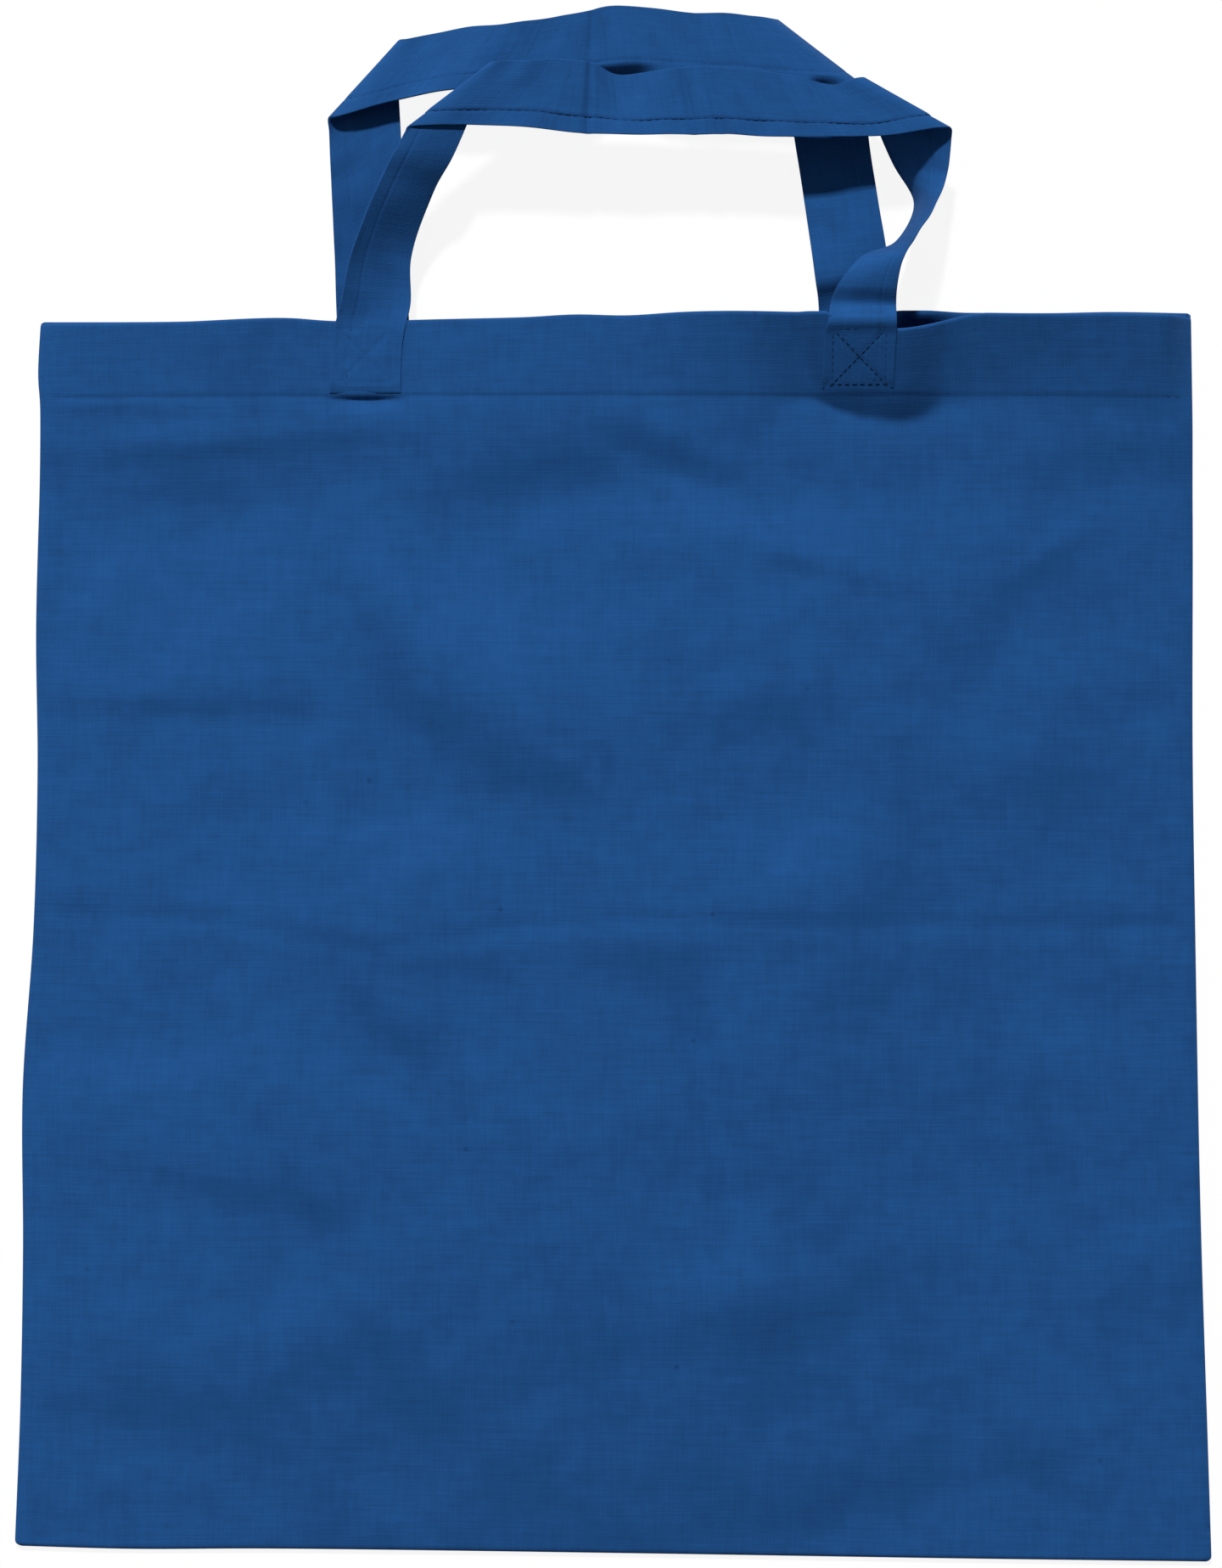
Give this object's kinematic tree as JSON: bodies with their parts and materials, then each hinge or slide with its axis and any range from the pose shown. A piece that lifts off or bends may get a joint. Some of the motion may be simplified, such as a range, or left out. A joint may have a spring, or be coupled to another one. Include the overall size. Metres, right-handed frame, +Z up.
{
  "type": "cotton carrier bag",
  "caption": "Flat cotton carrier bag with a hemmed open mouth and short strap handles sewn on at the hem, for bread and other shopping, lying on its back panel.",
  "frame": {"origin": "middle of the whole bag's box, on the surface it lies on", "axes": "+X across the bag, +Y from the bottom fold to the mouth and handles, +Z up from the surface, out of the front panel"},
  "size_m": [0.4098, 0.5323, 0.0382],
  "materials": {
    "bag_cloth": "dyed plain-weave cotton, matt",
    "strap_cloth": "dyed plain-weave cotton, folded and stitched, matt",
    "sewing_thread": "dyed sewing thread, slight sheen"
  },
  "bodies": {
    "root": {"bag_body": "bag_cloth", "back_handle": "strap_cloth", "front_handle": "strap_cloth", "hem_thread": "sewing_thread", "left_side_seam_thread": "sewing_thread", "right_side_seam_thread": "sewing_thread", "back_handle_edge_thread": "sewing_thread", "front_handle_edge_thread": "sewing_thread", "front_left_tack_thread": "sewing_thread", "front_right_tack_thread": "sewing_thread", "back_left_tack_thread": "sewing_thread", "back_right_tack_thread": "sewing_thread"}
  },
  "joints": []
}
